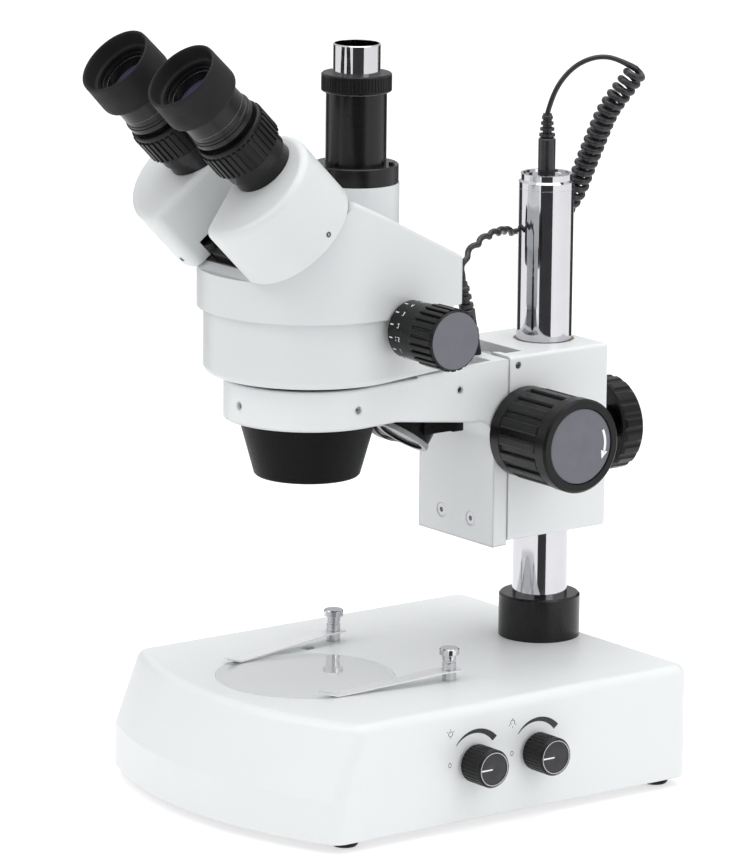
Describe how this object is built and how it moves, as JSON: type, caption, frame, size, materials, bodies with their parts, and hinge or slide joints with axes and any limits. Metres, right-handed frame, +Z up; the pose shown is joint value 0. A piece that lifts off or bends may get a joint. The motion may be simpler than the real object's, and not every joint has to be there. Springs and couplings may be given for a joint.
{
  "type": "stereo microscope",
  "caption": "Trinocular stereo zoom microscope on a pillar stand with a lit base, focus arm, inclined eyepieces, photo tube and a coiled lamp cord.",
  "frame": {"origin": "the point of the table under the optical axis, level with the underside of the feet", "axes": "+Z up, -Y towards the user at the eyepieces, +X to the user's right, where the two dimmers are"},
  "size_m": [0.2176, 0.3261, 0.4131],
  "materials": {
    "white_paint": "satin",
    "black_satin": "satin",
    "black_plastic": "satin",
    "chrome": "polished",
    "steel": "brushed",
    "brass": "satin",
    "rubber": "matte",
    "clear_glass": "polished",
    "lens_glass": "coated",
    "frosted": "frosted",
    "cord_rubber": "gloss"
  },
  "bodies": {
    "stand": {"base_housing": "white_paint", "base_bottom_plate": "steel", "rubber_feet": "rubber", "base_screws": "steel", "stage_plate": "clear_glass", "lower_diffuser": "frosted", "lower_lamp": "chrome", "mains_inlet": "black_plastic", "dimmer_pots": "steel", "clip_posts": "chrome", "pillar": "chrome", "pillar_collar": "black_satin", "pillar_cap": "chrome", "cord_top_plug": "cord_rubber", "cord_lead": "cord_rubber", "cord_coil": "cord_rubber"},
    "height_bush": {"pillar_bush": "brass"},
    "focus_body": {"focus_block": "white_paint"},
    "clamp": {"clamp_knob": "black_plastic"},
    "focus_pinion": {"pinion_shaft": "steel", "left_focus_knob": "black_plastic"},
    "tension_knob": {"right_focus_knob": "black_plastic"},
    "carriage": {"arm": "white_paint", "dovetail_slide": "steel", "focus_rack": "brass", "arm_screws": "steel", "lamp_bracket": "black_satin", "lamp_socket": "black_plastic", "cord_lower_plug": "cord_rubber", "cord_tail": "cord_rubber"},
    "upper_lamp": {"lamp_housing": "black_satin", "lamp_lens": "frosted"},
    "head": {"head_mount_ring": "black_satin", "objective_cone": "black_satin", "objective_lenses": "lens_glass", "head_lower_cover": "white_paint", "head_upper_cover": "white_paint", "photo_port": "black_satin", "pod_chassis": "black_satin"},
    "zoom": {"zoom_shaft": "steel", "right_zoom_knob": "black_plastic", "left_zoom_knob": "black_plastic"},
    "lock_ring": {"photo_lock_ring": "black_satin"},
    "camera_tube": {"photo_tube": "chrome"},
    "front_dimmer": {"front_dimmer_knob": "black_plastic"},
    "rear_dimmer": {"rear_dimmer_knob": "black_plastic"},
    "right_clip": {"right_stage_clip": "chrome"},
    "left_clip": {"left_stage_clip": "chrome"},
    "right_pod": {"right_pod_cover": "white_paint", "right_eyepiece_tube": "black_satin"},
    "right_diopter": {"right_diopter_ring": "black_plastic"},
    "right_eyepiece": {"right_eyepiece_barrel": "black_satin", "right_eye_lens": "lens_glass", "right_eyecup": "rubber"},
    "left_pod": {"left_pod_cover": "white_paint", "left_eyepiece_tube": "black_satin"},
    "left_diopter": {"left_diopter_ring": "black_plastic"},
    "left_eyepiece": {"left_eyepiece_barrel": "black_satin", "left_eye_lens": "lens_glass", "left_eyecup": "rubber"}
  },
  "joints": [
    {"name": "height_slide", "type": "slide", "parent": "stand", "child": "height_bush", "axis": [0, 0, 1], "range_m": [-0.035, 0.042], "deforming": ["cord_tail", "cord_coil"]},
    {"name": "swivel", "type": "hinge", "parent": "height_bush", "child": "focus_body", "pos_m": [0, 0.158, 0.18], "axis": [0, 0, 1], "range_deg": [-45, 45], "deforming": ["cord_tail"]},
    {"name": "clamp_turn", "type": "hinge", "parent": "focus_body", "child": "clamp", "pos_m": [0, 0.2, 0.178], "axis": [0, 1, 0], "range_deg": [0, 540]},
    {"name": "focus_slide", "type": "slide", "parent": "focus_body", "child": "carriage", "axis": [0, 0, 1], "range_m": [-0.022, 0.022], "deforming": ["cord_tail"]},
    {"name": "pinion_turn", "type": "hinge", "parent": "focus_body", "child": "focus_pinion", "pos_m": [0, 0.1192, 0.1896], "axis": [1, 0, 0], "range_deg": [-253, 253]},
    {"name": "tension_turn", "type": "hinge", "parent": "focus_pinion", "child": "tension_knob", "pos_m": [0.05, 0.1192, 0.1896], "axis": [1, 0, 0], "range_deg": [-60, 60]},
    {"name": "lamp_tilt", "type": "hinge", "parent": "carriage", "child": "upper_lamp", "pos_m": [0, 0.0683, 0.196], "axis": [1, 0, 0], "range_deg": [-8, 20]},
    {"name": "head_turn", "type": "hinge", "parent": "carriage", "child": "head", "pos_m": [0, 0, 0.217], "axis": [0, 0, 1], "range_deg": [-60, 45]},
    {"name": "zoom_turn", "type": "hinge", "parent": "head", "child": "zoom", "pos_m": [0, 0.022, 0.26], "axis": [1, 0, 0], "range_deg": [-150, 110]},
    {"name": "right_pod_swing", "type": "hinge", "parent": "head", "child": "right_pod", "pos_m": [0.022, -0.06897, 0.33103], "axis": [0, -0.7071, 0.7071], "range_deg": [-17.5, 7.5]},
    {"name": "left_pod_swing", "type": "hinge", "parent": "head", "child": "left_pod", "pos_m": [-0.022, -0.06897, 0.33103], "axis": [0, -0.7071, 0.7071], "range_deg": [-7.6, 17.6]},
    {"name": "right_eyepiece_slide", "type": "slide", "parent": "right_pod", "child": "right_eyepiece", "axis": [0, -0.7071, 0.7071], "range_m": [-0.0025, 0.0025]},
    {"name": "left_eyepiece_slide", "type": "slide", "parent": "left_pod", "child": "left_eyepiece", "axis": [0, -0.7071, 0.7071], "range_m": [-0.0025, 0.0025]},
    {"name": "right_diopter_turn", "type": "hinge", "parent": "right_pod", "child": "right_diopter", "pos_m": [0.029, -0.06756, 0.36356], "axis": [0, -0.7071, 0.7071], "range_deg": [-151, 151]},
    {"name": "left_diopter_turn", "type": "hinge", "parent": "left_pod", "child": "left_diopter", "pos_m": [-0.029, -0.06756, 0.36356], "axis": [0, -0.7071, 0.7071], "range_deg": [-151, 151]},
    {"name": "lock_ring_turn", "type": "hinge", "parent": "head", "child": "lock_ring", "pos_m": [0, 0.03, 0.38], "axis": [0, 0, 1], "range_deg": [0, 90]},
    {"name": "camera_tube_slide", "type": "slide", "parent": "head", "child": "camera_tube", "axis": [0, 0, 1], "range_m": [-0.004, 0.025]},
    {"name": "front_dimmer_turn", "type": "hinge", "parent": "stand", "child": "front_dimmer", "pos_m": [0.11, 0.035, 0.0358], "axis": [1, 0, 0], "range_deg": [-280, 0]},
    {"name": "rear_dimmer_turn", "type": "hinge", "parent": "stand", "child": "rear_dimmer", "pos_m": [0.11, 0.076, 0.0358], "axis": [1, 0, 0], "range_deg": [-280, 0]},
    {"name": "right_clip_swing", "type": "hinge", "parent": "stand", "child": "right_clip", "pos_m": [0.0508, 0.0566, 0.0715], "axis": [0, 0, 1], "range_deg": [-40, 25]},
    {"name": "left_clip_swing", "type": "hinge", "parent": "stand", "child": "left_clip", "pos_m": [-0.0508, 0.0566, 0.0715], "axis": [0, 0, 1], "range_deg": [-25, 40]}
  ],
  "couplings": [
    {"joint": "pinion_turn", "follows": "focus_slide", "rad_per_m": -200},
    {"joint": "left_pod_swing", "follows": "right_pod_swing", "ratio": -1},
    {"joint": "right_diopter_turn", "follows": "right_eyepiece_slide", "rad_per_m": 1047},
    {"joint": "left_diopter_turn", "follows": "left_eyepiece_slide", "rad_per_m": 1047}
  ]
}
